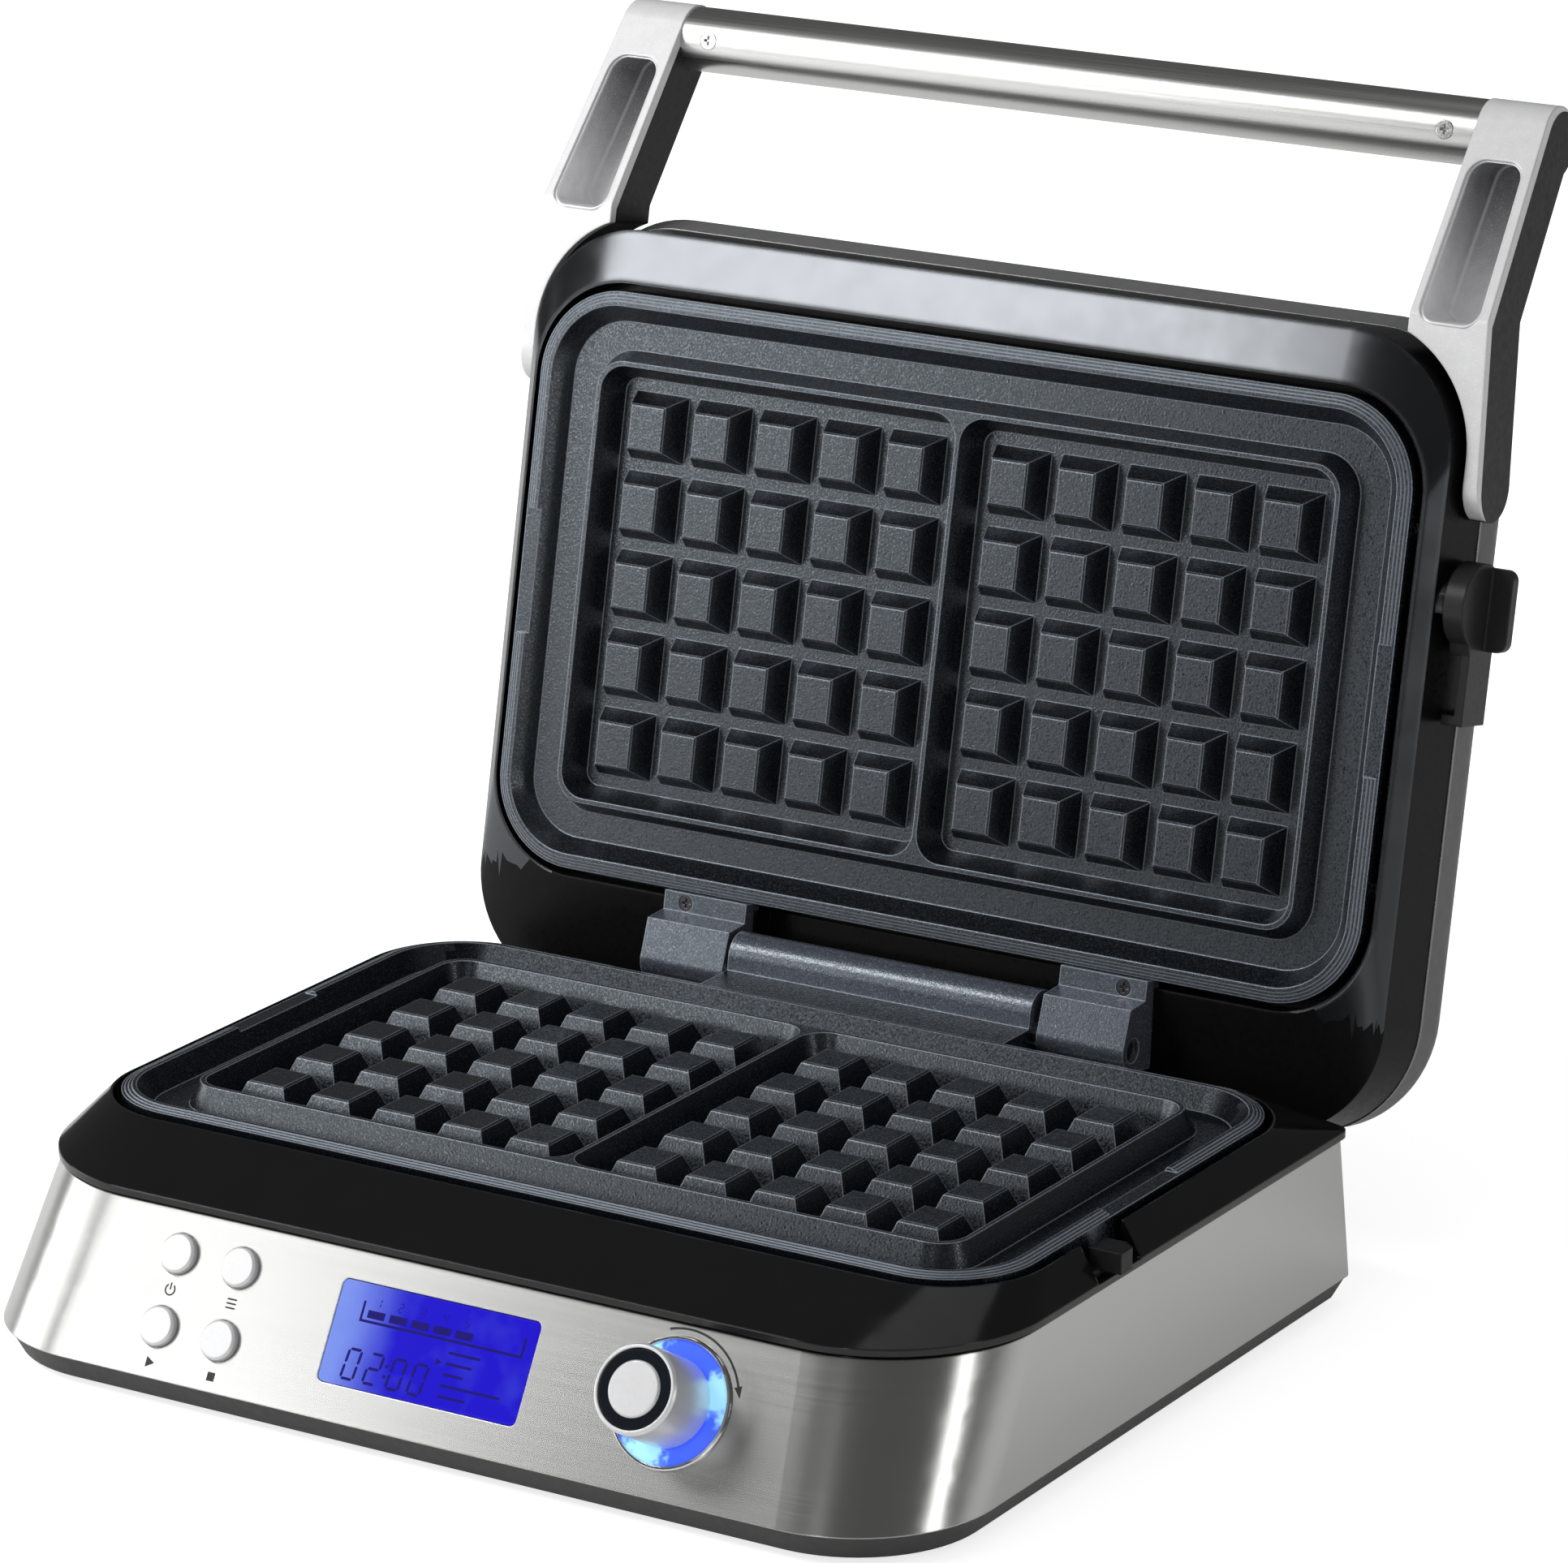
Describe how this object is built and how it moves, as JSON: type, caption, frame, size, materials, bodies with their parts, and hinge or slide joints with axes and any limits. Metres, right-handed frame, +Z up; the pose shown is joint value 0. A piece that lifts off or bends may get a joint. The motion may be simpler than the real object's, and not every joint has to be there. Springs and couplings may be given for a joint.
{
  "type": "waffle maker",
  "caption": "Electric waffle maker with hinged lid, studded cooking plates, leaning front with display, push buttons and rotary knob, tube handle on side arms and a swinging side latch.",
  "frame": {"origin": "middle of the underside of the box round the whole part, lid open, on the table", "axes": "+Z up, -Y towards the user at the control front, +X to the user's right"},
  "size_m": [0.3716, 0.4236, 0.3644],
  "materials": {
    "skirt_steel": "horizontally brushed",
    "tray_grey": "fine matt",
    "foot_rubber": "matt",
    "deck_black": "high gloss",
    "panel_black": "satin",
    "plate_coat": "textured non-stick coat",
    "pin_steel": "ground",
    "element": "oxidised tube",
    "pan_aluminium": "plain sheet",
    "board_green": "lacquered board",
    "inner_black": "plain moulding",
    "display_blue": "lit display",
    "display_lens": "clear",
    "light_blue": "lit diffuser",
    "bezel_chrome": "polished",
    "knob_silver": "satin",
    "knob_black": "gloss",
    "button_silver": "satin silver paint",
    "lid_black": "gloss front, satin sides",
    "lid_grey": "satin",
    "trim_bright": "satin",
    "arm_silver": "metallic paint",
    "arm_black": "satin",
    "liner_graphite": "metallic graphite paint",
    "tube_steel": "brushed",
    "fastener": "plain",
    "lever_black": "matt"
  },
  "bodies": {
    "base": {"base_tray": "tray_grey", "rubber_feet": "foot_rubber", "base_screws": "fastener", "base_skirt": "skirt_steel", "rear_panel": "panel_black", "cord_inlet": "panel_black", "deck_frame": "deck_black", "base_catch": "panel_black", "lower_plate": "plate_coat", "lower_heater": "element", "lower_reflector": "pan_aluminium", "lower_sensor": "element", "hinge_pin": "pin_steel", "power_board": "board_green", "control_carrier": "inner_black", "control_board": "board_green", "push_switches": "inner_black", "display_module": "display_blue", "display_window": "display_lens", "light_ring": "light_blue", "ring_bezel": "bezel_chrome", "encoder": "inner_black"},
    "lid": {"lid_frame": "lid_black", "lid_trim": "trim_bright", "lid_cover": "lid_grey", "lid_screws": "fastener", "upper_plate": "plate_coat", "upper_heater": "element", "upper_reflector": "pan_aluminium", "upper_sensor": "element", "hinge_bracket_left": "plate_coat", "hinge_bracket_right": "plate_coat", "hinge_screws": "fastener", "lever_pin": "pin_steel", "handle_tube": "tube_steel", "handle_screws": "fastener", "arm_screws": "fastener", "arm_face_left": "arm_silver", "arm_face_right": "arm_silver", "arm_core_left": "arm_black", "arm_core_right": "arm_black", "arm_liner_left": "liner_graphite", "arm_liner_right": "liner_graphite"},
    "lever": {"lock_lever": "lever_black"},
    "knob": {"knob_shaft": "pin_steel", "knob_body": "knob_silver", "knob_ring": "knob_black", "knob_cap": "knob_silver"},
    "button_upper_left": {"button_upper_left": "button_silver"},
    "button_upper_right": {"button_upper_right": "button_silver"},
    "button_lower_left": {"button_lower_left": "button_silver"},
    "button_lower_right": {"button_lower_right": "button_silver"}
  },
  "joints": [
    {"name": "lid_hinge", "type": "hinge", "parent": "base", "child": "lid", "pos_m": [-0.00477, 0.07812, 0.0685], "axis": [1, 0, 0], "range_deg": [0, 101.5]},
    {"name": "lever_swing", "type": "hinge", "parent": "lid", "child": "lever", "pos_m": [-0.00477, 0.13632, 0.21625], "axis": [-1, 0, 0], "range_deg": [0, 90]},
    {"name": "knob_turn", "type": "hinge", "parent": "base", "child": "knob", "pos_m": [0.07963, -0.18534, 0.03553], "axis": [0, -0.8691, 0.4947], "continuous": true},
    {"name": "press_upper_left", "type": "slide", "parent": "base", "child": "button_upper_left", "axis": [0, 0.8691, -0.4947], "range_m": [0, 0.0015], "stiffness_N_per_m": 400, "springref_m": -0.001},
    {"name": "press_upper_right", "type": "slide", "parent": "base", "child": "button_upper_right", "axis": [0, 0.8691, -0.4947], "range_m": [0, 0.0015], "stiffness_N_per_m": 400, "springref_m": -0.001},
    {"name": "press_lower_left", "type": "slide", "parent": "base", "child": "button_lower_left", "axis": [0, 0.8691, -0.4947], "range_m": [0, 0.0015], "stiffness_N_per_m": 400, "springref_m": -0.001},
    {"name": "press_lower_right", "type": "slide", "parent": "base", "child": "button_lower_right", "axis": [0, 0.8691, -0.4947], "range_m": [0, 0.0015], "stiffness_N_per_m": 400, "springref_m": -0.001}
  ]
}
